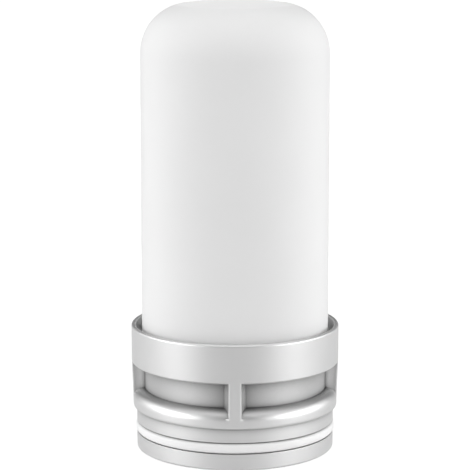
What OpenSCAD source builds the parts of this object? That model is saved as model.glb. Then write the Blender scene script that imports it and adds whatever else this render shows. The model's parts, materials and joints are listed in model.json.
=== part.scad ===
// Plug-in ceramic filter cartridge for a tap-mounted water purifier.
// +Z is up, the origin is the centre of the spigot's bottom face, and sizes are in millimetres.
// Raw water enters the four windows, rises round the candle and seeps inwards through its wall.
// It then runs down through the fill and leaves by the outlet under the spigot.

/* [Candle] */
// Height of the whole cartridge
overall_h = 92; // [84:0.5:100]
// Outer diameter of the ceramic candle
candle_d = 38.6; // [38.2:0.1:39.4]
// Thickness of the candle's side wall and dome
candle_wall = 5.5; // [4.5:0.1:6.5]
// Radius of the candle's rounded shoulder
shoulder_r = 10.2; // [8:0.1:12]
// Diameter of the flat disc on top of the candle
top_disc_d = 23.4; // [20:0.1:26]

/* [Cage] */
// Outer diameter of the collar
collar_d = 43; // [42.6:0.1:44]
// Wall thickness of the collar
collar_wall = 0.9; // [0.8:0.05:1.1]
// Height of the collar
collar_h = 8; // [5:0.1:10]
// Height of the collar's lower edge above the bottom face
collar_z = 18.1; // [17:0.1:18.8]
// Outer diameter of the flange under the windows
flange_d = 42.4; // [41.6:0.1:42.6]
// Radius of the flange's rounded upper side
flange_round = 2.4; // [1.6:0.1:2.8]
// Width of a rib's outer face
rib_face_w = 2.1; // [1.4:0.1:3]
// Width of a rib where it meets the hub
rib_root_w = 4.5; // [3.2:0.1:6]

/* [End cap] */
// Diameter of the hub seen through the windows
hub_d = 37.6; // [37:0.1:38]
// Diameter of the sealing spigot
spigot_d = 40.9; // [40.5:0.1:41.2]
// Height of the sealing spigot
spigot_h = 8.6; // [7.5:0.1:9.2]
// Wall thickness of the hub
hub_wall = 2; // [1.6:0.1:2.2]
// Diameter of the water outlet
outlet_d = 10; // [6:0.5:12]
// Number of stiffening ribs under the end cap
stiffeners = 8; // [4:1:12]

/* [Seal] */
// Thickness of the O-ring's cord
cord_d = 2.15; // [1.8:0.05:2.3]
// Height of the O-ring's centre above the bottom face
seal_z = 4.6; // [3.5:0.1:4.9]
// How far the O-ring stands out of the spigot
seal_proud = 0.2; // [0.1:0.05:0.3]

/* [Fill] */
// Diameter of a mineral ball
ball_d = 4.5; // [3.6:0.1:5.2]
// Number of layers of mineral balls
ball_layers = 4; // [2:1:5]
// Thickness of the fleece pads
fleece_t = 3; // [2:0.25:4]

/* [Hidden] */
$fn = 96;

// Clearances and small allowances
slip = 0.05;        // between pieces that slide together by hand
glue = 0.45;        // thickness of the resin between candle and end cap
over = 0.5;         // how far a cutter runs past what it cuts
bond_lap = 0.4;     // overlap that fuses one feature of a moulding to the next
root_lap = 1;       // how far a rib is drawn past its root before it is trimmed

// Radii
candle_r = candle_d / 2;
candle_bore_r = candle_r - candle_wall;
collar_r = collar_d / 2;
flange_r = flange_d / 2;
hub_r = hub_d / 2;
spigot_r = spigot_d / 2;
socket_r = candle_bore_r - glue;
socket_wall = 1.6;
socket_bore_r = socket_r - socket_wall;
outlet_r = outlet_d / 2;

// Heights
seat_t = 1.5;
seat_rise = 0.9;    // from the collar's lower edge up to the hub's top
socket_h = 6.4;
flange_face_h = 1.65;
seat_z = collar_z + seat_rise;
foot_z = seat_z + glue;
socket_top_z = seat_z + socket_h;
sleeve_top_z = socket_top_z - 1;
rim_z = collar_z + collar_h;
flange_waist_z = spigot_h + flange_face_h;

// Edges
collar_chamfer = 0.3;
rim_outer_round = 0.5;
rim_inner_round = 0.3;
flange_under_round = 0.7;
spigot_edge_round = 0.5;

// Candle dome
shoulder_centre = [candle_r - shoulder_r, overall_h - dome_rise(top_disc_d / 2)];
inner_shoulder_r = 5;
bore_top_z = overall_h - candle_wall;

// End cap floor, outlet and stiffeners
floor_z = 2.2;
floor_t = 2;
floor_top_z = floor_z + floor_t;
boss_z = 0.8;
boss_wall = 1.5;
boss_r = outlet_r + boss_wall;
stiffener_t = 1.2;
plenum_h = 1.4;

// O-ring and its groove
cord_r = cord_d / 2;
seal_r = spigot_r + seal_proud - cord_r;
groove_play = 0.25;
groove_w = cord_d + groove_play;
groove_r = seal_r - cord_r - slip;

// Fill, from the bottom up
pad_r = socket_bore_r - slip;
bed_r = candle_bore_r - slip;
grid_t = 2;
grid_z = floor_top_z + plenum_h;
screen_t = 0.25;
screen_z = grid_z + grid_t;
base_fleece_z = screen_z + screen_t;
ball_z = base_fleece_z + fleece_t + slip;
ball_gap = 0.1;
ball_pitch = ball_d + ball_gap;
layer_rise = ball_pitch * sqrt(2 / 3);
ball_reach = socket_bore_r - ball_gap / 2 - ball_d / 2;
ball_top_z = ball_z + ball_d + (ball_layers - 1) * layer_rise;
divider_z = max(ball_top_z, socket_top_z) + slip;
carbon_z = divider_z + fleece_t;
skirt_h = 1;
dome_fleece_z = bore_top_z - inner_shoulder_r - skirt_h;
grid_hole_d = 1.8;
grid_hole_pitch = 3;

// Height from the shoulder's centre to the point of its arc at a given radius
function dome_rise(r) = sqrt(pow(shoulder_r, 2) - pow(r - candle_r + shoulder_r, 2));

// Points of a triangular lattice no further than reach from the axis
function lattice(pitch, reach, shift = [0, 0]) =
    let (rows = ceil(reach / pitch) + 1)
    [
        for (row = [-rows : rows])
            for (col = [-2 * rows : 2 * rows])
                let (spot = shift + pitch * [col + row / 2, row * sin(60)])
                if (norm(spot) <= reach) spot
    ];

// What is cut off a square corner to round it; into points from the corner into the material
module corner_waste(corner, radius, into) {
    outer = corner - over * into;
    centre = corner + radius * into;
    difference() {
        polygon([outer, [centre.x, outer.y], centre, [outer.x, centre.y]]);
        translate(centre) circle(radius);
    }
}

// Half section of a ring between two radii and two heights
module ring_section(r_in, r_out, z_low, z_high) {
    translate([r_in, z_low]) square([r_out - r_in, z_high - z_low]);
}

// Solid ring or disc
module ring(r_in, r_out, z_low, z_high) {
    rotate_extrude() ring_section(r_in, r_out, z_low, z_high);
}

// Radial web of even thickness, repeated round the axis
module webs(count, thickness, r_in, r_out, z_low, z_high) {
    for (i = [0 : count - 1])
        rotate(360 / count * i)
            translate([r_in, -thickness / 2, z_low])
                cube([r_out - r_in, thickness, z_high - z_low]);
}

// Half section of the candle's outside: straight wall, round shoulder, flat disc
module candle_outline() {
    ring_section(0, candle_r, foot_z, shoulder_centre.y);
    ring_section(0, shoulder_centre.x, foot_z, overall_h);
    intersection() {
        translate(shoulder_centre) circle(shoulder_r);
        ring_section(0, candle_r, foot_z, overall_h);
    }
}

// Half section of a domed cylinder with a rounded upper edge
module domed_section(r, z_low, z_high, round) {
    difference() {
        ring_section(0, r, z_low, z_high);
        corner_waste([r, z_high], round, [-1, -1]);
    }
}

module ceramic_candle() {
    color("white")
        rotate_extrude()
            difference() {
                candle_outline();
                domed_section(candle_bore_r, foot_z - over, bore_top_z, inner_shoulder_r);
            }
}

// Half section of the collar: rounded rim and a small chamfer along the lower edge
module collar_section() {
    r_in = collar_r - collar_wall;
    difference() {
        ring_section(r_in, collar_r, collar_z, rim_z);
        corner_waste([collar_r, rim_z], rim_outer_round, [-1, -1]);
        corner_waste([r_in, rim_z], rim_inner_round, [1, -1]);
        polygon([
            [collar_r - collar_chamfer, collar_z - over],
            [collar_r - collar_chamfer, collar_z],
            [collar_r, collar_z + collar_chamfer],
            [collar_r + over, collar_z + collar_chamfer],
            [collar_r + over, collar_z - over]
        ]);
    }
}

// Half section of the flange: its upper side is a quarter round that starts at the hub
module flange_section() {
    r_in = hub_r + slip;
    round_r = flange_r - flange_round;
    difference() {
        ring_section(r_in, flange_r, spigot_h, flange_waist_z);
        corner_waste([flange_r, spigot_h], flange_under_round, [-1, 1]);
    }
    ring_section(r_in, max(round_r, r_in + slip), flange_waist_z, flange_waist_z + flange_round);
    intersection() {
        translate([round_r, flange_waist_z]) circle(flange_round);
        ring_section(r_in, flange_r, flange_waist_z - bond_lap, flange_waist_z + flange_round);
    }
}

// Half section of the web that a rib is cut from; its face leans from the flange out to the collar
module rib_section() {
    polygon([
        [hub_r + slip, flange_waist_z],
        [flange_r, flange_waist_z],
        [collar_r, collar_z + collar_chamfer],
        [hub_r + slip, collar_z + collar_chamfer]
    ]);
}

// Plan of a rib, narrow at its face and flared towards the hub
module rib_plan() {
    root = rib_root_w / 2;
    face = rib_face_w / 2;
    polygon([[hub_r - root_lap, -root], [hub_r, -root], [collar_r, -face],
             [collar_r + over, -face], [collar_r + over, face],
             [collar_r, face], [hub_r, root], [hub_r - root_lap, root]]);
}

module collar_cage() {
    color("gainsboro") {
        rotate_extrude() collar_section();
        rotate_extrude() flange_section();
        intersection() {
            rotate_extrude() rib_section();
            for (i = [0 : 3])
                rotate(90 * i)
                    translate([0, 0, flange_waist_z - over])
                        linear_extrude(collar_z - flange_waist_z + 2 * over) rib_plan();
        }
    }
}

// Half section of the end cap's outer wall: spigot with its groove, then the hub
module hub_wall_section() {
    wall_r = hub_r - hub_wall;
    difference() {
        union() {
            ring_section(wall_r, spigot_r, 0, spigot_h);
            ring_section(wall_r, hub_r, 0, seat_z);
        }
        ring_section(groove_r, spigot_r + over, seal_z - groove_w / 2, seal_z + groove_w / 2);
        corner_waste([spigot_r, 0], spigot_edge_round, [-1, 1]);
    }
}

// Half section of the socket that stands up inside the candle, with its floor and outlet
module socket_section() {
    ring_section(socket_bore_r, socket_r, floor_z, socket_top_z);
    ring_section(outlet_r, socket_r, floor_z, floor_top_z);
    ring_section(outlet_r, boss_r, boss_z, floor_top_z);
}

module end_cap() {
    wall_r = hub_r - hub_wall;
    color("gainsboro") {
        rotate_extrude() {
            hub_wall_section();
            ring_section(socket_bore_r, hub_r, seat_z - seat_t, seat_z);
            socket_section();
        }
        webs(stiffeners, stiffener_t, socket_r - bond_lap, wall_r + bond_lap, boss_z, seat_z - bond_lap);
        webs(stiffeners, stiffener_t, boss_r - bond_lap, socket_r - bond_lap, boss_z, floor_z + bond_lap);
        webs(stiffeners, stiffener_t, boss_r, socket_bore_r + bond_lap, floor_z + bond_lap, grid_z);
    }
}

module o_ring() {
    color("snow")
        rotate_extrude()
            translate([seal_r, seal_z]) circle(cord_r);
}

// Cured resin: a flat ring under the candle's foot and a sleeve inside its bore
module bond_ring() {
    color("ivory")
        rotate_extrude() {
            ring_section(socket_r, hub_r, seat_z, foot_z);
            ring_section(socket_r, candle_bore_r, seat_z, sleeve_top_z);
        }
}

module dome_fleece() {
    color("whitesmoke")
        rotate_extrude()
            domed_section(bed_r, dome_fleece_z, bore_top_z - slip, inner_shoulder_r);
}

module carbon_bed() {
    color([0.1, 0.1, 0.1]) ring(0, bed_r, carbon_z, dome_fleece_z);
}

module divider_fleece() {
    color("whitesmoke") ring(0, bed_r, divider_z, carbon_z);
}

// Close-packed balls; every other layer sits in the hollows of the one below
module mineral_balls() {
    color("tan")
        for (layer = [0 : ball_layers - 1])
            let (shift = (layer % 2) * ball_pitch / 2 * [1, tan(30)])
                for (spot = lattice(ball_pitch, ball_reach, shift))
                    translate([spot.x, spot.y, ball_z + ball_d / 2 + layer * layer_rise])
                        sphere(ball_d / 2);
}

module base_fleece() {
    color("whitesmoke") ring(0, pad_r, base_fleece_z, base_fleece_z + fleece_t);
}

module outlet_screen() {
    color("silver") ring(0, pad_r, screen_z, screen_z + screen_t);
}

module support_grid() {
    color("gainsboro")
        translate([0, 0, grid_z])
            linear_extrude(grid_t)
                difference() {
                    circle(pad_r);
                    for (spot = lattice(grid_hole_pitch, pad_r - grid_hole_d))
                        translate(spot) circle(d = grid_hole_d);
                }
}

ceramic_candle();
collar_cage();
end_cap();
o_ring();
bond_ring();
dome_fleece();
carbon_bed();
divider_fleece();
mineral_balls();
base_fleece();
outlet_screen();
support_grid();
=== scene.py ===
import json
import math

import bmesh
import bpy
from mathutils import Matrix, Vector, noise

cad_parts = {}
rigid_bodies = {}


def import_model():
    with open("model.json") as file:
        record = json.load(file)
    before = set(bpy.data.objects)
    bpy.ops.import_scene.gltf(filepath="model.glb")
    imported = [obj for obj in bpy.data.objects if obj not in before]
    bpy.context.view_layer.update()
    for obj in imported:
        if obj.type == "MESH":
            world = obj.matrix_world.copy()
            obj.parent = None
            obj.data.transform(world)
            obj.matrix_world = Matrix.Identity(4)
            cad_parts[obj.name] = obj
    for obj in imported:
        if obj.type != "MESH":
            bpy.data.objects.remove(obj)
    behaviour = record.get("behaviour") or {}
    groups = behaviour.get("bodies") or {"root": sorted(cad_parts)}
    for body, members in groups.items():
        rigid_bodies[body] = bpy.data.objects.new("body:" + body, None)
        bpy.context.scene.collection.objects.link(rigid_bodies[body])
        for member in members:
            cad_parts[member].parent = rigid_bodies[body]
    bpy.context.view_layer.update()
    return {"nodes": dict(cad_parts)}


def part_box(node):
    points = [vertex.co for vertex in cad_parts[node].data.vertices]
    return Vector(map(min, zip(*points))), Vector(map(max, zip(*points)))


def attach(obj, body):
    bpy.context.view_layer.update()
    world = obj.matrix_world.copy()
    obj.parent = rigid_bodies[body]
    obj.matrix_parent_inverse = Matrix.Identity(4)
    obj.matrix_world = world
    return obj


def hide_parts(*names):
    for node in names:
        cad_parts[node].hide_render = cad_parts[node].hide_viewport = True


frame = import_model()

MM = 0.001
# Turning about this axis goes anticlockwise seen from above
AXIS = (0, 0, -1)
# Vertices closer than this are merged, in metres
MERGE = 0.002 * MM
# Places in a section closer than this are the same, in millimetres
SAME_SPOT = 0.001


def box_mm(node):
    """Lowest and highest corner of a CAD node, in millimetres."""
    return [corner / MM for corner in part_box(node)]


candle_low, candle_high = box_mm("ceramic_candle")
cage_low, cage_high = box_mm("collar_cage")
cap_high = box_mm("end_cap")[1]
seal_low, seal_high = box_mm("o_ring")
bond_low, bond_high = box_mm("bond_ring")

# Candle; sizes here and below are in millimetres
CANDLE_R = candle_high.x
CANDLE_TOP = candle_high.z
CANDLE_FOOT = candle_low.z
CANDLE_WALL = 5.5
CANDLE_BORE_R = CANDLE_R - CANDLE_WALL
CANDLE_FOOT_ROUND = 0.25
CANDLE_COLUMNS = 240
SHOULDER_R = 10.2
TOP_DISC_R = 11.7
TOP_DISC_EDGE = 0.35
# Radii of the rows on the top disc, and heights above the foot of those on the straight wall
TOP_DISC_ROWS = (0, 3, 8)
WALL_ROWS = (30, 10)
INNER_TOP = CANDLE_TOP - CANDLE_WALL
INNER_SHOULDER_R = 5.0
INNER_WALL_ROW = 30

# Cage
CAGE_COLUMNS = 160
COLLAR_R = cage_high.x
COLLAR_WALL = 0.9
COLLAR_BORE_R = COLLAR_R - COLLAR_WALL
RIM_Z = cage_high.z
COLLAR_Z = RIM_Z - 8.0
COLLAR_EDGE = 0.3
RIM_OUTER_ROUND = 0.5
RIM_INNER_ROUND = 0.3
FLANGE_R = COLLAR_R - 0.3
FLANGE_Z = cage_low.z
FLANGE_ROUND = 2.4
FLANGE_UNDER_ROUND = 0.7
FLANGE_WAIST_Z = FLANGE_Z + 1.65
CAGE_BORE_R = 18.85
RIBS = 4
RIB_COLUMNS = 4
RIB_FLAT_HALF = 1.0
RIB_EDGE = 0.3
RIB_FLARE = 0.95
RIB_FLARE_CURVE = 1.6
# How deep behind a rib's face the lines run that shape its sides
RIB_DEPTHS = [0, 0.02, 0.06, 0.12, 0.2, 0.3, 0.4, 0.55, 0.72, 0.9, 1.15, 1.4, 1.7, 2.0, 2.35]

# End cap
CAP_COLUMNS = 160
CAP_EDGE_ROUND = 0.08
HUB_R = bond_high.x
HUB_TOP = bond_low.z
HUB_BORE_R = HUB_R - 2.0
SEAT_T = 1.5
SPIGOT_R = cap_high.x
SPIGOT_TOP = FLANGE_Z
SPIGOT_ROUND = 0.5
SOCKET_TOP = cap_high.z
SOCKET_PLAY = 0.45
SOCKET_R = CANDLE_BORE_R - SOCKET_PLAY
SOCKET_BORE_R = SOCKET_R - 1.6
FLOOR_Z = 2.2
FLOOR_TOP = 4.2
PLENUM_TOP = 5.6
BOSS_Z = 0.8
OUTLET_R = 5.0
BOSS_R = OUTLET_R + 1.5
STIFFENERS = 8
STIFFENER_COLUMNS = 2
STIFFENER_HALF = 0.6

# O-ring
SEAL_COLUMNS = 192
CORD_R = (seal_high.z - seal_low.z) / 2
SEAL_Z = (seal_high.z + seal_low.z) / 2
SEAL_R = seal_high.x - CORD_R
GROOVE_R = SEAL_R - CORD_R - 0.05
GROOVE_HALF = CORD_R + 0.125
# How the cord lies in its groove: a flat inside, a little low, and fuller than a circle
CORD_FLAT_R = GROOVE_R + 0.07
CORD_SAG = 0.05
CORD_SIDE_GAP = 0.02
CORD_FULLNESS = 0.6

# Resin bond
SLEEVE_TOP = SOCKET_TOP - 1.3
BEAD_INSET = 0.05
BEAD_SKIN = 0.04
BEAD_SWELL = 0.004
BEAD_WAVE = 2.5

# Fill: edge roundings, row spacings, columns and how deep the surface sinks
FELT_EDGE = 0.7
FELT_SPACING = 0.5
FELT_COLUMNS = 144
FELT_HOLLOW = 0.22
CARBON_EDGE = 0.5
CARBON_SPACING = 0.38
CARBON_COLUMNS = 220
CARBON_HOLLOW = 0.35
GRANULE_SIZE = 0.95

# Painted recess shade: the band of heights it is held to on the plastic, and how softly the band
# ends
WINDOW_BAND = (7 * MM, 18.4 * MM)
BAND_START_FADE = 1 * MM
BAND_END_FADE = 0.5 * MM

# Stage
CAMERA_PLACE = (0, -454 * MM, 128.7 * MM)
CAMERA_TARGET = (0, 0, 44.46 * MM)
CAMERA_LENS = 171.5
CAMERA_SENSOR = 36
FLOOR_RADIUS = 8
FLOOR_DROP = 0.05 * MM
FLOOR_TONE = 0.5
FLOOR_GLOW = 0.24
FLOOR_BACKGROUND_LIFT = 0.45
SURROUNDINGS = 0.01
# Name, azimuth, elevation, spread and strength; each stands on both sides of the camera
SIDE_LIGHTS = [
    ("front_softbox", 65, 8, 40, 1.67),
    ("side_softbox", 85, 20, 35, 0.50),
    ("rear_softbox", 110, 20, 35, 0.46),
]


# ---------------------------------------------------------------- modelling

def arc(centre, radius, start, end, steps):
    """Points [r, z] of an arc; angles in degrees, 0 points away from the axis and 90 up."""
    turns = [math.radians(start + (end - start) * i / steps) for i in range(steps + 1)]
    return [(centre[0] + radius * math.cos(t), centre[1] + radius * math.sin(t)) for t in turns]


def start_piece(name, point):
    """A new piece in edit mode that holds one vertex at [r, z], on the section plane y = 0."""
    bpy.ops.object.select_all(action="DESELECT")
    bpy.ops.mesh.primitive_plane_add(size=MM, location=(0, 0, 0))
    piece = bpy.context.object
    piece.name = name
    piece.data.name = name
    bpy.ops.object.mode_set(mode="EDIT")
    bpy.ops.mesh.select_mode(type="VERT")
    bpy.ops.mesh.select_all(action="SELECT")
    bpy.ops.mesh.merge(type="CENTER")
    bpy.ops.transform.translate(value=(point[0] * MM, 0, point[1] * MM))
    return piece


def draw_on(points):
    """Extrudes the selected vertex along the points that follow the first one."""
    for here, there in zip(points, points[1:]):
        step = ((there[0] - here[0]) * MM, 0, (there[1] - here[1]) * MM)
        bpy.ops.mesh.extrude_region_move(TRANSFORM_OT_translate={"value": step})


def draw_face(outline):
    """Adds one flat face with that outline, on the section plane, to the piece in edit mode."""
    bpy.ops.mesh.select_mode(type="VERT")
    bpy.ops.mesh.select_all(action="DESELECT")
    bpy.ops.mesh.primitive_plane_add(size=MM, location=(0, 0, 0))
    bpy.ops.mesh.merge(type="CENTER")
    bpy.ops.transform.translate(value=(outline[0][0] * MM, 0, outline[0][1] * MM))
    draw_on(outline + outline[:1])
    bpy.ops.mesh.select_linked()
    bpy.ops.mesh.remove_doubles(threshold=MERGE)
    bpy.ops.mesh.edge_face_add()


def pick_faces(piece, test):
    """Selects only the faces that pass the test, which reads a centre in millimetres."""
    bpy.ops.mesh.select_mode(type="FACE")
    bpy.ops.mesh.select_all(action="DESELECT")
    mesh = bmesh.from_edit_mesh(piece.data)
    for face in mesh.faces:
        if test(face.calc_center_median() / MM):
            face.select_set(True)
    bmesh.update_edit_mesh(piece.data)


def turn(steps, angle, copies=False):
    """Spins the selection about the cartridge's axis; the angle is in degrees."""
    bpy.ops.mesh.spin(steps=steps, dupli=copies, angle=math.radians(angle),
                      center=(0, 0, 0), axis=AXIS)


def close_shell():
    """Merges doubles and turns every face outwards."""
    bpy.ops.mesh.select_all(action="SELECT")
    bpy.ops.mesh.remove_doubles(threshold=MERGE)
    bpy.ops.mesh.normals_make_consistent(inside=False)


def smooth(piece, angle=35):
    """Leaves edit mode and shades the piece smooth, with sharp edges kept and flat faces flat."""
    bpy.ops.object.mode_set(mode="OBJECT")
    bpy.ops.object.shade_smooth_by_angle(angle=math.radians(angle))
    weighted = piece.modifiers.new("even_shading", "WEIGHTED_NORMAL")
    weighted.keep_sharp = True
    bpy.ops.object.modifier_apply(modifier=weighted.name)
    return piece


def round_edges(piece, width, segments, angle=40):
    """Rounds every sharp edge of the piece."""
    bpy.ops.object.mode_set(mode="OBJECT")
    bevel = piece.modifiers.new("edge_rounding", "BEVEL")
    bevel.width = width * MM
    bevel.segments = segments
    bevel.limit_method = "ANGLE"
    bevel.angle_limit = math.radians(angle)
    bpy.ops.object.modifier_apply(modifier=bevel.name)


def turned(name, outline, steps):
    """A piece turned about the cartridge's axis from a half section."""
    piece = start_piece(name, outline[0])
    draw_on(outline)
    bpy.ops.mesh.select_all(action="SELECT")
    turn(steps, 360)
    close_shell()
    return smooth(piece)


def webbed(name, rings, webs, count, columns, web_columns, half_width):
    """A turned piece with webs: rings go all the way round, webs only through their own thickness.

    rings and webs are outlines in the section plane. The full turn has so many columns, and a web
    takes web_columns of them. half_width gives half a web's thickness at [r, z], in millimetres.
    """
    sector = 360 / count
    web_angle = web_columns * 360 / columns
    web_spots = [sum((Vector(point) for point in web), Vector((0, 0))) / len(web) for web in webs]

    def is_ring_on(angle):
        def test(spot):
            here = Vector((spot.xy.length, spot.z))
            on_plane = abs(math.degrees(math.atan2(spot.y, spot.x)) - angle) < 0.01
            return on_plane and not any((here - web).length < SAME_SPOT for web in web_spots)
        return test

    piece = start_piece(name, (0, 0))
    bpy.ops.mesh.delete(type="VERT")
    for outline in rings + webs:
        draw_face(outline)
    bpy.ops.mesh.select_all(action="SELECT")
    bpy.ops.mesh.remove_doubles(threshold=MERGE)
    bpy.ops.mesh.select_all(action="SELECT")
    turn(web_columns, web_angle)
    pick_faces(piece, is_ring_on(0))
    bpy.ops.mesh.delete(type="ONLY_FACE")
    pick_faces(piece, is_ring_on(web_angle))
    turn(columns // count - web_columns, sector - web_angle)
    pick_faces(piece, is_ring_on(sector))
    bpy.ops.mesh.delete(type="ONLY_FACE")
    bpy.ops.mesh.select_all(action="SELECT")
    turn(count - 1, 360 - sector, copies=True)
    close_shell()
    set_web_widths(piece, sector, web_angle / 2, half_width)
    return piece


def set_web_widths(piece, sector, half_angle, half_width):
    """Moves the columns round the axis, so that each web is centred and has its thickness."""
    mesh = bmesh.from_edit_mesh(piece.data)
    for vert in mesh.verts:
        radius = vert.co.xy.length / MM
        azimuth = math.degrees(math.atan2(vert.co.y, vert.co.x)) - half_angle
        web = round(azimuth / sector)
        offset = azimuth - web * sector
        side = math.copysign(1, offset)
        half = math.degrees(math.asin(half_width(radius, vert.co.z / MM) / radius))
        if abs(offset) <= half_angle:
            moved = offset * half / half_angle
        else:
            along = (abs(offset) - half_angle) / (sector / 2 - half_angle)
            moved = side * (half + along * (sector / 2 - half))
        place = math.radians(web * sector + moved)
        vert.co.x = radius * MM * math.cos(place)
        vert.co.y = radius * MM * math.sin(place)
    bmesh.update_edit_mesh(piece.data)


# ---------------------------------------------------------------- ceramic candle

def make_candle():
    shoulder_x = CANDLE_R - SHOULDER_R
    edge_angle = math.degrees(math.acos((TOP_DISC_R - shoulder_x) / SHOULDER_R))
    shoulder_z = CANDLE_TOP - SHOULDER_R * math.sin(math.radians(edge_angle))
    inner_x = CANDLE_BORE_R - INNER_SHOULDER_R
    inner_z = INNER_TOP - INNER_SHOULDER_R
    foot = (CANDLE_R - CANDLE_FOOT_ROUND, CANDLE_FOOT + CANDLE_FOOT_ROUND)
    outline = [(row, CANDLE_TOP) for row in (*TOP_DISC_ROWS, TOP_DISC_R - TOP_DISC_EDGE)]
    outline += arc((shoulder_x, shoulder_z), SHOULDER_R, edge_angle, 0, 30)
    outline += [(CANDLE_R, CANDLE_FOOT + row) for row in WALL_ROWS]
    outline += arc(foot, CANDLE_FOOT_ROUND, 0, -90, 3)
    outline += [(CANDLE_BORE_R, CANDLE_FOOT), (CANDLE_BORE_R, inner_z - INNER_WALL_ROW)]
    outline += arc((inner_x, inner_z), INNER_SHOULDER_R, 0, 90, 10)
    outline += [(inner_x / 2, INNER_TOP), (0, INNER_TOP)]
    return turned("porous_candle", outline, CANDLE_COLUMNS)


# ---------------------------------------------------------------- collar cage

def rib_bottom(depth):
    """Where a line behind a rib's face starts, on the flange's rounded upper side."""
    reach = FLANGE_ROUND - depth
    return (FLANGE_R - depth, FLANGE_WAIST_Z + math.sqrt(FLANGE_ROUND ** 2 - reach ** 2))


def rib_top(depth):
    """Where the same line ends: on the collar's chamfer, its underside or just behind its wall."""
    if depth <= COLLAR_EDGE:
        return (COLLAR_R - depth, COLLAR_Z + COLLAR_EDGE - depth)
    if depth <= COLLAR_WALL + SAME_SPOT:
        return (COLLAR_R - depth, COLLAR_Z)
    behind = (depth - COLLAR_WALL) / (RIB_DEPTHS[-1] - COLLAR_WALL)
    return (COLLAR_BORE_R + behind * (CAGE_BORE_R - COLLAR_BORE_R), COLLAR_Z + COLLAR_EDGE)


def rib_half_width(radius, height):
    """Half a rib's thickness: a rounded edge at its face, and sides that flare towards the hub."""
    lean = (height - FLANGE_WAIST_Z) / (COLLAR_Z + COLLAR_EDGE - FLANGE_WAIST_Z)
    face = FLANGE_R + (COLLAR_R - FLANGE_R) * min(max(lean, 0), 1)
    depth = min(max(face - radius, 0), RIB_DEPTHS[-1])
    corner = max(RIB_EDGE - depth, 0)
    flare = RIB_FLARE * (depth / RIB_DEPTHS[-1]) ** RIB_FLARE_CURVE
    return RIB_FLAT_HALF + math.sqrt(RIB_EDGE ** 2 - corner ** 2) + flare


def make_cage():
    collar_inside = (COLLAR_BORE_R, COLLAR_Z + COLLAR_EDGE)
    rim_outside = (COLLAR_R - RIM_OUTER_ROUND, RIM_Z - RIM_OUTER_ROUND)
    rim_inside = (COLLAR_BORE_R + RIM_INNER_ROUND, RIM_Z - RIM_INNER_ROUND)
    under_edge = (FLANGE_R - FLANGE_UNDER_ROUND, FLANGE_Z + FLANGE_UNDER_ROUND)
    underside = [rib_top(depth) for depth in RIB_DEPTHS if depth <= COLLAR_WALL + SAME_SPOT]
    collar = underside[::-1]
    collar += arc(rim_outside, RIM_OUTER_ROUND, 0, 90, 6)
    collar += arc(rim_inside, RIM_INNER_ROUND, 90, 180, 4)
    collar += [collar_inside]
    flange = [(CAGE_BORE_R, FLANGE_Z)]
    flange += arc(under_edge, FLANGE_UNDER_ROUND, -90, 0, 6)
    flange += [rib_bottom(depth) for depth in RIB_DEPTHS]
    ribs = []
    for front, back in zip(RIB_DEPTHS, RIB_DEPTHS[1:]):
        strip = [rib_bottom(front), rib_top(front), rib_top(back), rib_bottom(back)]
        if abs(front - COLLAR_WALL) < SAME_SPOT:
            strip.insert(2, collar_inside)
        ribs.append(strip)
    cage = webbed("collar_with_ribs", [collar, flange], ribs, RIBS, CAGE_COLUMNS, RIB_COLUMNS,
                  rib_half_width)
    return smooth(cage, 38)


# ---------------------------------------------------------------- end cap

def make_end_cap():
    groove_low = SEAL_Z - GROOVE_HALF
    groove_high = SEAL_Z + GROOVE_HALF
    channel_top = HUB_TOP - SEAT_T
    body = [(OUTLET_R, BOSS_Z), (BOSS_R, BOSS_Z), (BOSS_R, FLOOR_Z), (SOCKET_R, FLOOR_Z),
            (SOCKET_R, channel_top), (HUB_BORE_R, channel_top), (HUB_BORE_R, BOSS_Z),
            (HUB_BORE_R, 0)]
    body += arc((SPIGOT_R - SPIGOT_ROUND, SPIGOT_ROUND), SPIGOT_ROUND, -90, 0, 6)
    body += [(SPIGOT_R, groove_low), (GROOVE_R, groove_low), (GROOVE_R, groove_high),
             (SPIGOT_R, groove_high), (SPIGOT_R, SPIGOT_TOP), (HUB_R, SPIGOT_TOP), (HUB_R, HUB_TOP),
             (SOCKET_R, HUB_TOP), (SOCKET_R, SOCKET_TOP), (SOCKET_BORE_R, SOCKET_TOP),
             (SOCKET_BORE_R, PLENUM_TOP), (SOCKET_BORE_R, FLOOR_TOP), (BOSS_R, FLOOR_TOP),
             (OUTLET_R, FLOOR_TOP)]
    stiffener = [(BOSS_R, BOSS_Z), (HUB_BORE_R, BOSS_Z), (HUB_BORE_R, channel_top),
                 (SOCKET_R, channel_top), (SOCKET_R, FLOOR_Z), (BOSS_R, FLOOR_Z)]
    plenum_rib = [(BOSS_R, FLOOR_TOP), (SOCKET_BORE_R, FLOOR_TOP), (SOCKET_BORE_R, PLENUM_TOP),
                  (BOSS_R, PLENUM_TOP)]
    cap = webbed("spigot_end_cap", [body], [stiffener, plenum_rib], STIFFENERS, CAP_COLUMNS,
                 STIFFENER_COLUMNS, lambda radius, height: STIFFENER_HALF)
    round_edges(cap, CAP_EDGE_ROUND, 2)
    return smooth(cap)


# ---------------------------------------------------------------- seal and resin

def make_o_ring():
    """The cord, pressed flat against the groove's floor and filling the groove's width."""
    swell = (GROOVE_HALF - CORD_SIDE_GAP - CORD_SAG) / CORD_R
    outline = []
    for r, z in arc((SEAL_R, SEAL_Z), CORD_R, -180, 180, 40):
        side = (z - SEAL_Z) / CORD_R
        fuller = math.copysign(abs(side) ** CORD_FULLNESS, side)
        outline.append((max(r, CORD_FLAT_R), SEAL_Z - CORD_SAG + fuller * CORD_R * swell))
    return turned("sealing_ring", outline, SEAL_COLUMNS)


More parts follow.
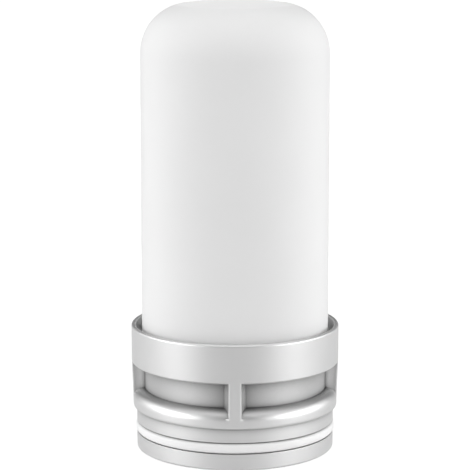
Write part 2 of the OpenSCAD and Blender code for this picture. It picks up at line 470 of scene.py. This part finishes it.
def make_resin():
    """Resin squeezed out between the candle's foot and the cap's seat, with an uneven bead."""
    sleeve_half = SOCKET_PLAY / 2
    bead_centre = (HUB_R - BEAD_INSET, (HUB_TOP + CANDLE_FOOT) / 2)
    outline = [(SOCKET_R, HUB_TOP)]
    outline += arc(bead_centre, (CANDLE_FOOT - HUB_TOP) / 2, -90, 90, 8)
    outline += [(CANDLE_BORE_R, CANDLE_FOOT), (CANDLE_BORE_R, SLEEVE_TOP)]
    outline += arc((CANDLE_BORE_R - sleeve_half, SLEEVE_TOP), sleeve_half, 0, 180, 4)
    outline += [(SOCKET_R, HUB_TOP)]
    resin = turned("resin_bond", outline, SEAL_COLUMNS)
    for vert in resin.data.vertices:
        if vert.co.xy.length > (HUB_R - BEAD_SKIN) * MM:
            swell = 1 + BEAD_SWELL * noise.noise(vert.co / (BEAD_WAVE * MM))
            vert.co.x *= swell
            vert.co.y *= swell
    return resin


# ---------------------------------------------------------------- fill

def rows(start, end, spacing):
    """Points [r, z] at even spacing from start towards end, without the end itself."""
    steps = max(1, round((Vector(end) - Vector(start)).length / spacing))
    return [tuple(Vector(start).lerp(Vector(end), i / steps)) for i in range(steps)]


def filled_outline(node, shoulder, edge, spacing):
    """Half section of a pressed-in filling: its upper and lower edges are rounded."""
    low, high = box_mm(node)
    outline = rows((0, high.z), (high.x - shoulder, high.z), spacing)
    turn_steps = max(4, round(shoulder * 1.5 / spacing))
    outline += arc((high.x - shoulder, high.z - shoulder), shoulder, 90, 0, turn_steps)[:-1]
    outline += rows((high.x, high.z - shoulder), (high.x, low.z + edge), spacing)
    outline += arc((high.x - edge, low.z + edge), edge, 0, -90, 4)[:-1]
    outline += rows((high.x - edge, low.z), (0, low.z), spacing) + [(0, low.z)]
    return outline


def sink_surface(piece, depth, hollow):
    """Sinks the surface by up to depth; hollow says how far, 0 to 1, at a place in millimetres."""
    normals = [vert.normal.copy() for vert in piece.data.vertices]
    for vert, normal in zip(piece.data.vertices, normals):
        vert.co -= normal * depth * MM * hollow(vert.co / MM)
    return piece


def fibre_hollow(place):
    """Soft dents of pressed fibre, wide ones and narrow ones together."""
    return 0.5 + 0.35 * noise.noise(place / 2.6) + 0.15 * noise.noise(place / 0.8)


def granule_hollow(place):
    """Hollows between round granules."""
    return min(noise.voronoi(place / GRANULE_SIZE)[0][0] * 1.3, 1)


def make_felt(name, node, shoulder):
    outline = filled_outline(node, shoulder, FELT_EDGE, FELT_SPACING)
    return sink_surface(turned(name, outline, FELT_COLUMNS), FELT_HOLLOW, fibre_hollow)


def make_dome_felt():
    return make_felt("felt_under_dome", "dome_fleece", INNER_SHOULDER_R)


def make_divider_felt():
    return make_felt("felt_under_carbon", "divider_fleece", FELT_EDGE)


def make_base_felt():
    return make_felt("felt_over_screen", "base_fleece", FELT_EDGE)


def make_carbon():
    outline = filled_outline("carbon_bed", CARBON_EDGE, CARBON_EDGE, CARBON_SPACING)
    carbon = turned("carbon_granules", outline, CARBON_COLUMNS)
    return sink_surface(carbon, CARBON_HOLLOW, granule_hollow)


# ---------------------------------------------------------------- materials

def add_node(tree, kind, **settings):
    """A new node in the tree, with its settings."""
    node = tree.nodes.new(kind)
    for key, value in settings.items():
        setattr(node, key, value)
    return node


def set_inputs(node, **values):
    """Sets sockets by name, with underscores for spaces; returns the node."""
    for key, value in values.items():
        node.inputs[key.replace("_", " ")].default_value = value
    return node


def make_group(name, inputs, outputs):
    """An empty node group; inputs hold (name, value), and every socket carries a number."""
    group = bpy.data.node_groups.new(name, "ShaderNodeTree")
    for socket_name, value in inputs:
        socket = group.interface.new_socket(socket_name, in_out="INPUT",
                                            socket_type="NodeSocketFloat")
        socket.default_value = value
    for socket_name in outputs:
        group.interface.new_socket(socket_name, in_out="OUTPUT",
                                   socket_type="NodeSocketFloat")
    return group, add_node(group, "NodeGroupInput"), add_node(group, "NodeGroupOutput")


def make_surface_grain():
    """Grain of a moulded or fired surface: a fine height, rare pits and a slow mottle."""
    inputs = [("Grain per mm", 5.0), ("Pits per mm", 1.5), ("Mottle per mm", 0.1)]
    group, start, end = make_group("surface_grain", inputs, ["Height", "Pits", "Mottle"])
    link = group.links.new
    place = add_node(group, "ShaderNodeTexCoord")
    in_mm = add_node(group, "ShaderNodeVectorMath", operation="SCALE")
    in_mm.inputs["Scale"].default_value = 1 / MM
    link(place.outputs["Object"], in_mm.inputs[0])
    grain = set_inputs(add_node(group, "ShaderNodeTexNoise"), Detail=3.0, Roughness=0.6)
    mottle = set_inputs(add_node(group, "ShaderNodeTexNoise"), Detail=2.0, Roughness=0.55)
    pores = add_node(group, "ShaderNodeTexVoronoi")
    rates = ((grain, "Grain per mm"), (mottle, "Mottle per mm"), (pores, "Pits per mm"))
    for texture, rate in rates:
        link(in_mm.outputs["Vector"], texture.inputs["Vector"])
        link(start.outputs[rate], texture.inputs["Scale"])
    depth = set_inputs(add_node(group, "ShaderNodeMapRange"), From_Min=0.06, From_Max=0.2,
                       To_Min=1.0, To_Max=0.0)
    link(pores.outputs["Distance"], depth.inputs["Value"])
    link(grain.outputs["Fac"], end.inputs["Height"])
    link(depth.outputs["Result"], end.inputs["Pits"])
    link(mottle.outputs["Fac"], end.inputs["Mottle"])
    return group


def make_recess_shade():
    """Painted shade for the base colour: how open the surface is, from 1 in the open down to a deep
    tone in corners.

    It is 1 below Lower and above Upper, so that only what lies between them is shaded.
    """
    inputs = [("Reach", 8 * MM), ("Depth", 2.0), ("Lower", 0.0), ("Upper", 1.0)]
    group, start, end = make_group("recess_shade", inputs, ["Shade"])
    link = group.links.new
    openness = add_node(group, "ShaderNodeAmbientOcclusion", samples=12)
    deepened = add_node(group, "ShaderNodeMath", operation="POWER")
    link(start.outputs["Reach"], openness.inputs["Distance"])
    link(openness.outputs["AO"], deepened.inputs[0])
    link(start.outputs["Depth"], deepened.inputs[1])
    place = add_node(group, "ShaderNodeTexCoord")
    height = add_node(group, "ShaderNodeSeparateXYZ")
    link(place.outputs["Object"], height.inputs["Vector"])
    shade = deepened.outputs["Value"]
    for limit, fade in (("Lower", BAND_START_FADE), ("Upper", -BAND_END_FADE)):
        full = add_node(group, "ShaderNodeMath", operation="ADD")
        full.inputs[1].default_value = fade
        within = set_inputs(add_node(group, "ShaderNodeMapRange"), To_Min=1.0)
        link(start.outputs[limit], full.inputs[0])
        link(height.outputs["Z"], within.inputs["Value"])
        link(start.outputs[limit], within.inputs["From Min"])
        link(full.outputs["Value"], within.inputs["From Max"])
        link(shade, within.inputs["To Max"])
        shade = within.outputs["Result"]
    link(shade, end.inputs["Shade"])
    return group


def make_strands():
    """Matted fibres: three stretched noises crossed at different angles."""
    group, start, end = make_group("matted_strands", [("Strands per mm", 8.0)], ["Height"])
    link = group.links.new
    place = add_node(group, "ShaderNodeTexCoord")
    height = None
    for turn_x, turn_y, turn_z in ((0.2, 0.1, 0.4), (0.9, 1.3, 2.4), (2.2, 0.5, 1.4)):
        lay = add_node(group, "ShaderNodeMapping")
        lay.inputs["Rotation"].default_value = (turn_x, turn_y, turn_z)
        lay.inputs["Scale"].default_value = (0.12 / MM, 1 / MM, 1 / MM)
        strands = set_inputs(add_node(group, "ShaderNodeTexNoise"), Detail=2.0, Distortion=0.4)
        link(place.outputs["Object"], lay.inputs["Vector"])
        link(lay.outputs["Vector"], strands.inputs["Vector"])
        link(start.outputs["Strands per mm"], strands.inputs["Scale"])
        if height is None:
            height = strands.outputs["Fac"]
            continue
        highest = add_node(group, "ShaderNodeMath", operation="MAXIMUM")
        link(height, highest.inputs[0])
        link(strands.outputs["Fac"], highest.inputs[1])
        height = highest.outputs["Value"]
    link(height, end.inputs["Height"])
    return group


def new_material(name, **values):
    """A material with its Principled shader set; returns the material, its tree and the shader."""
    material = bpy.data.materials.new(name)
    material.use_nodes = True
    tree = material.node_tree
    shader = tree.nodes["Principled BSDF"]
    set_inputs(shader, **values)
    return material, tree, shader


def place_group(tree, group, **values):
    """A group's node in the tree, with its inputs set."""
    node = add_node(tree, "ShaderNodeGroup", node_tree=group)
    return set_inputs(node, **values)


def vary_colour(tree, shader, source, low, high, span=(0.3, 0.7)):
    """Base colour that runs from low to high, as the source goes through its span."""
    ramp = add_node(tree, "ShaderNodeValToRGB")
    for element, place, tone in zip(ramp.color_ramp.elements, span, (low, high)):
        element.position = place
        element.color = (tone, tone, tone, 1) if isinstance(tone, float) else (*tone, 1)
    tree.links.new(source, ramp.inputs["Fac"])
    tree.links.new(ramp.outputs["Color"], shader.inputs["Base Color"])
    return ramp


def paint_recess_shade(tree, shader, tones, recess, **values):
    """Base colour from the tones, darkened by the painted recess shade."""
    shade = place_group(tree, recess, **values)
    shaded = add_node(tree, "ShaderNodeVectorMath", operation="SCALE")
    tree.links.new(tones.outputs["Color"], shaded.inputs[0])
    tree.links.new(shade.outputs["Shade"], shaded.inputs["Scale"])
    tree.links.new(shaded.outputs["Vector"], shader.inputs["Base Color"])


def vary_value(tree, socket, source, low, high, span=(0.3, 0.7)):
    """A socket's value that runs from low to high, as the source goes through its span."""
    scale = set_inputs(add_node(tree, "ShaderNodeMapRange"), From_Min=span[0], From_Max=span[1],
                       To_Min=low, To_Max=high)
    tree.links.new(source, scale.inputs["Value"])
    tree.links.new(scale.outputs["Result"], socket)


def add_bump(tree, shader, heights):
    """Chains bump nodes; heights hold (source, distance in millimetres, strength)."""
    normal = None
    for source, distance, strength in heights:
        bump = add_node(tree, "ShaderNodeBump")
        set_inputs(bump, Distance=distance * MM, Strength=strength)
        tree.links.new(source, bump.inputs["Height"])
        if normal is not None:
            tree.links.new(normal, bump.inputs["Normal"])
        normal = bump.outputs["Normal"]
    tree.links.new(normal, shader.inputs["Normal"])


def make_ceramic(grain):
    """Fired porous ceramic: matt, finely grained, with a soft bloom towards its edges."""
    material, tree, shader = new_material("unglazed_ceramic", Specular_IOR_Level=0.3,
                                          Sheen_Weight=0.35, Sheen_Roughness=0.35)
    surface = place_group(tree, grain, Grain_per_mm=4.0, Pits_per_mm=0.9, Mottle_per_mm=0.05)
    vary_colour(tree, shader, surface.outputs["Mottle"], 0.855, 0.875)
    vary_value(tree, shader.inputs["Roughness"], surface.outputs["Height"], 0.68, 0.84)
    add_bump(tree, shader, [(surface.outputs["Height"], 0.012, 0.5)])
    return material


def make_plastic(grain, recess):
    """Silver-grey moulded plastic with a satin skin, and painted shade that darkens it inside the
    windows.
    """
    lower, upper = WINDOW_BAND
    material, tree, shader = new_material("satin_grey_plastic", Metallic=0.75)
    surface = place_group(tree, grain, Grain_per_mm=7.0, Pits_per_mm=2.0, Mottle_per_mm=0.12)
    tones = vary_colour(tree, shader, surface.outputs["Mottle"], 0.765, 0.785)
    paint_recess_shade(tree, shader, tones, recess, Reach=8 * MM, Depth=1.7, Lower=lower, Upper=upper)
    vary_value(tree, shader.inputs["Roughness"], surface.outputs["Height"], 0.42, 0.48)
    add_bump(tree, shader, [(surface.outputs["Height"], 0.004, 0.4)])
    return material


def make_silicone(grain, recess):
    """White silicone, with painted shade that darkens it where it meets the groove."""
    material, tree, shader = new_material("white_silicone", Specular_IOR_Level=0.4)
    surface = place_group(tree, grain, Grain_per_mm=3.0, Pits_per_mm=2.0, Mottle_per_mm=0.2)
    tones = vary_colour(tree, shader, surface.outputs["Mottle"], 0.94, 0.96)
    paint_recess_shade(tree, shader, tones, recess, Reach=0.8 * MM, Depth=0.6)
    vary_value(tree, shader.inputs["Roughness"], surface.outputs["Height"], 0.40, 0.52)
    add_bump(tree, shader, [(surface.outputs["Height"], 0.004, 0.5)])
    return material


def make_resin_finish(grain):
    """Cloudy cured resin with a wet-looking skin."""
    material, tree, shader = new_material("cured_resin", Coat_Weight=0.2)
    surface = place_group(tree, grain, Grain_per_mm=1.2, Pits_per_mm=0.8, Mottle_per_mm=0.35)
    vary_colour(tree, shader, surface.outputs["Mottle"], (0.60, 0.58, 0.52), (0.72, 0.70, 0.65))
    vary_value(tree, shader.inputs["Roughness"], surface.outputs["Height"], 0.22, 0.4)
    add_bump(tree, shader, [(surface.outputs["Height"], 0.05, 0.5)])
    return material


def make_fleece(strands):
    """White fleece of matted fibres, darker where the strands sink: painted shade between the
    fibres.
    """
    material, tree, shader = new_material("filter_fleece", Sheen_Weight=0.4)
    mat = place_group(tree, strands, Strands_per_mm=6.0)
    vary_colour(tree, shader, mat.outputs["Height"], 0.55, 0.86, (0.45, 0.75))
    vary_value(tree, shader.inputs["Roughness"], mat.outputs["Height"], 0.95, 0.8, (0.45, 0.75))
    add_bump(tree, shader, [(mat.outputs["Height"], 0.15, 0.8)])
    return material


def make_granules(name, per_mm, dark, light, roughness):
    """Loose granules: a cell pattern gives each grain its own tone and a rounded height."""
    material, tree, shader = new_material(name)
    place = add_node(tree, "ShaderNodeTexCoord")
    cells = set_inputs(add_node(tree, "ShaderNodeTexVoronoi"), Scale=per_mm / MM)
    tree.links.new(place.outputs["Object"], cells.inputs["Vector"])
    tone = add_node(tree, "ShaderNodeSeparateColor")
    tree.links.new(cells.outputs["Color"], tone.inputs["Color"])
    vary_colour(tree, shader, tone.outputs["Red"], dark, light, (0.0, 1.0))
    vary_value(tree, shader.inputs["Roughness"], tone.outputs["Green"], roughness - 0.15,
               roughness + 0.15, (0.0, 1.0))
    add_bump(tree, shader, [(cells.outputs["Distance"], -0.5 / per_mm, 0.9)])
    return material


def make_mineral(grain):
    """Fired clay balls: brown, speckled and pitted."""
    material, tree, shader = new_material("mineral_ceramic")
    surface = place_group(tree, grain, Grain_per_mm=5.0, Pits_per_mm=2.2, Mottle_per_mm=0.45)
    vary_colour(tree, shader, surface.outputs["Mottle"], (0.42, 0.30, 0.19), (0.62, 0.50, 0.37))
    vary_value(tree, shader.inputs["Roughness"], surface.outputs["Height"], 0.6, 0.85)
    add_bump(tree, shader, [(surface.outputs["Height"], 0.05, 0.6),
                            (surface.outputs["Pits"], -0.08, 0.7)])
    return material


def make_screen():
    """Woven steel wire: over and under, four wires to the millimetre, darker where the wires sink:
    painted shade between the wires.
    """
    wires_per_mm = 4
    material, tree, shader = new_material("woven_steel", Metallic=1.0)
    link = tree.links.new
    place = add_node(tree, "ShaderNodeTexCoord")
    axes = add_node(tree, "ShaderNodeSeparateXYZ")
    link(place.outputs["Object"], axes.inputs["Vector"])

    def combine(operation, *sources):
        node = add_node(tree, "ShaderNodeMath", operation=operation)
        for socket, source in zip(node.inputs, sources):
            if isinstance(source, float):
                socket.default_value = source
            else:
                link(source, socket)
        return node.outputs["Value"]

    def wave(axis):
        return combine("SINE", combine("MULTIPLY", axes.outputs[axis], math.pi * wires_per_mm / MM))

    over = combine("MULTIPLY", wave("X"), wave("Y"))
    lifted_warp = combine("MULTIPLY_ADD", over, 0.3, combine("ABSOLUTE", wave("X")))
    sunk_weft = combine("MULTIPLY_ADD", over, -0.3, combine("ABSOLUTE", wave("Y")))
    height = combine("MAXIMUM", lifted_warp, sunk_weft)
    vary_colour(tree, shader, height, 0.08, 0.62, (0.35, 0.8))
    vary_value(tree, shader.inputs["Roughness"], height, 0.6, 0.3, (0.35, 0.8))
    add_bump(tree, shader, [(height, 0.1, 0.8)])
    return material


def give(piece, material):
    piece.data.materials.clear()
    piece.data.materials.append(material)


# ---------------------------------------------------------------- stage

def look_at(thing, place, target):
    """Puts a camera or light at a place, pointed at the target and upright."""
    thing.location = place
    thing.rotation_euler = (Vector(target) - Vector(place)).to_track_quat("-Z", "Y").to_euler()


def make_camera():
    data = bpy.data.cameras.new("front_camera")
    data.lens = CAMERA_LENS
    data.sensor_width = CAMERA_SENSOR
    camera = bpy.data.objects.new("front_camera", data)
    bpy.context.scene.collection.objects.link(camera)
    look_at(camera, CAMERA_PLACE, CAMERA_TARGET)
    bpy.context.scene.camera = camera


def make_light(name, azimuth, elevation, spread, strength):
    """A soft studio light far away; azimuth 0 is at the camera's side; angles are in degrees."""
    data = bpy.data.lights.new(name, "SUN")
    data.energy = strength
    data.angle = math.radians(spread)
    light = bpy.data.objects.new(name, data)
    bpy.context.scene.collection.objects.link(light)
    around = math.radians(azimuth - 90)
    up = math.radians(elevation)
    place = Vector((math.cos(up) * math.cos(around), math.cos(up) * math.sin(around), math.sin(up)))
    look_at(light, place, (0, 0, 0))


def make_world(strength):
    """Even soft surroundings, and a white background where the floor ends."""
    world = bpy.data.worlds.new("studio")
    world.use_nodes = True
    tree = world.node_tree
    tree.nodes.clear()
    rays = add_node(tree, "ShaderNodeLightPath")
    soft = set_inputs(add_node(tree, "ShaderNodeBackground"), Color=(1, 1, 1, 1), Strength=strength)
    white = set_inputs(add_node(tree, "ShaderNodeBackground"), Color=(1, 1, 1, 1), Strength=1.0)
    mix = add_node(tree, "ShaderNodeMixShader")
    end = add_node(tree, "ShaderNodeOutputWorld")
    tree.links.new(rays.outputs["Is Camera Ray"], mix.inputs["Fac"])
    tree.links.new(soft.outputs["Background"], mix.inputs[1])
    tree.links.new(white.outputs["Background"], mix.inputs[2])
    tree.links.new(mix.outputs["Shader"], end.inputs["Surface"])
    bpy.context.scene.world = world


def make_floor():
    """A pale table of frosted acrylic, lit a little from below."""
    bpy.ops.object.select_all(action="DESELECT")
    bpy.ops.mesh.primitive_circle_add(vertices=96, radius=FLOOR_RADIUS, fill_type="NGON",
                                      location=(0, 0, -FLOOR_DROP))
    floor = bpy.context.object
    floor.name = "light_table"
    bpy.ops.object.transform_apply(location=True)
    material, tree, shader = new_material("frosted_white", Roughness=0.9, Specular_IOR_Level=0.1,
                                          Emission_Color=(1, 1, 1, 1))
    clouds = set_inputs(add_node(tree, "ShaderNodeTexNoise"), Scale=20.0, Detail=2.0)
    place = add_node(tree, "ShaderNodeTexCoord")
    tree.links.new(place.outputs["Object"], clouds.inputs["Vector"])
    vary_colour(tree, shader, clouds.outputs["Fac"], FLOOR_TONE, FLOOR_TONE + 0.01)
    rays = add_node(tree, "ShaderNodeLightPath")
    glow = add_node(tree, "ShaderNodeMath", operation="MULTIPLY_ADD")
    glow.inputs[1].default_value = FLOOR_BACKGROUND_LIFT
    glow.inputs[2].default_value = FLOOR_GLOW
    tree.links.new(rays.outputs["Is Camera Ray"], glow.inputs[0])
    tree.links.new(glow.outputs["Value"], shader.inputs["Emission Strength"])
    give(floor, material)


# ---------------------------------------------------------------- the cartridge

grain = make_surface_grain()
recess = make_recess_shade()
strands = make_strands()
finishes = {
    "porous_ceramic": make_ceramic(grain),
    "grey_plastic": make_plastic(grain, recess),
    "white_silicone": make_silicone(grain, recess),
    "cured_resin": make_resin_finish(grain),
    "white_fleece": make_fleece(strands),
    "granular_carbon": make_granules("granular_carbon", 0.9, 0.012, 0.05, 0.5),
    "mineral": make_mineral(grain),
    "screen_steel": make_screen(),
}
pieces = [
    (make_candle, "ceramic_candle", "porous_ceramic"),
    (make_cage, "collar_cage", "grey_plastic"),
    (make_end_cap, "end_cap", "grey_plastic"),
    (make_o_ring, "o_ring", "white_silicone"),
    (make_resin, "bond_ring", "cured_resin"),
    (make_dome_felt, "dome_fleece", "white_fleece"),
    (make_divider_felt, "divider_fleece", "white_fleece"),
    (make_base_felt, "base_fleece", "white_fleece"),
    (make_carbon, "carbon_bed", "granular_carbon"),
]
for make_piece, node, slot in pieces:
    piece = make_piece()
    give(piece, finishes[slot])
    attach(piece, "root")
    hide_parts(node)
kept_nodes = {
    "mineral_balls": "mineral",
    "outlet_screen": "screen_steel",
    "support_grid": "grey_plastic",
}
for node, slot in kept_nodes.items():
    give(frame["nodes"][node], finishes[slot])

bpy.context.scene.view_settings.view_transform = "Standard"
make_floor()
make_camera()
make_world(SURROUNDINGS)
make_light("overhead", 0, 82, 80, 1.42)
for side in (-1, 1):
    for name, azimuth, *setting in SIDE_LIGHTS:
        make_light(name, side * azimuth, *setting)
